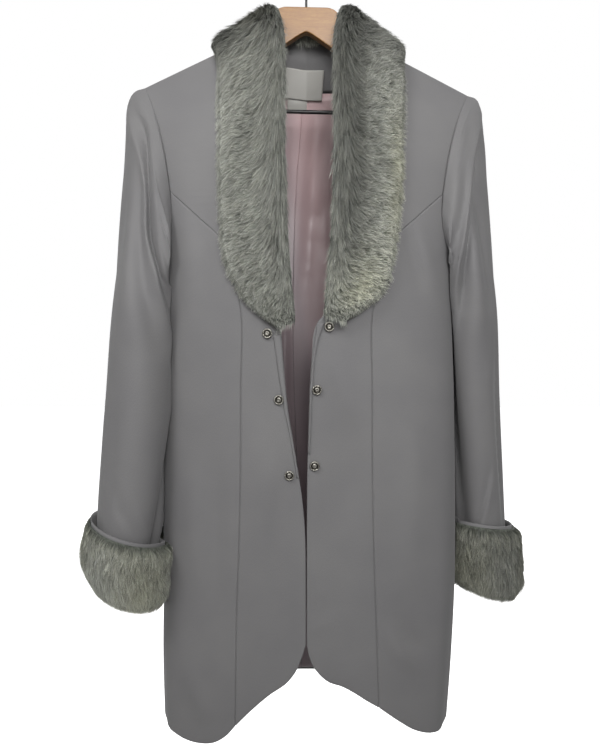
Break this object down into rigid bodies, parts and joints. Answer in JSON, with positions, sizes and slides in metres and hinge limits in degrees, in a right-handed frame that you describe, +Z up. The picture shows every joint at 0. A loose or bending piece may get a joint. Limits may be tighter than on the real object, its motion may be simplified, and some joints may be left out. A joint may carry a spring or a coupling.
{
  "type": "fur-trimmed coat on a hanger (coat and hanger)",
  "caption": "Grey princess-seamed coat with a sage fur shawl collar and fur cuffs, hanging open on a wooden hanger with a wire hook",
  "frame": {"origin": "inside top of the hanger's hook, where a rail carries it", "axes": "+Z up, the coat faces -Y, +X towards the wearer's left"},
  "size_m": [0.5922, 0.2188, 1.0022],
  "materials": {
    "cloth": "smooth fine wool with a soft sheen",
    "fur": "long sage-grey fur with pale tips",
    "satin": "dusty pink satin",
    "label": "blank white satin",
    "metal": "worn silvered metal",
    "wood": "clear satin lacquer",
    "wire": "black coating"
  },
  "bodies": {
    "root": {"back": "cloth", "front_right": "cloth", "side_front_right": "cloth", "sleeve_right": "cloth", "facing_right": "cloth", "cuff_lining_right": "cloth", "collar_right": "fur", "cuff_right": "fur", "lining_right": "satin", "button_right_1": "metal", "button_right_2": "metal", "button_right_3": "metal", "front_left": "cloth", "side_front_left": "cloth", "sleeve_left": "cloth", "facing_left": "cloth", "cuff_lining_left": "cloth", "collar_left": "fur", "cuff_left": "fur", "lining_left": "satin", "button_left_1": "metal", "button_left_2": "metal", "button_left_3": "metal", "neck_facing": "cloth", "label": "label", "size_tab": "label", "hanger_wood": "wood", "hanger_bar": "wire", "hanger_hook": "wire"}
  },
  "joints": []
}
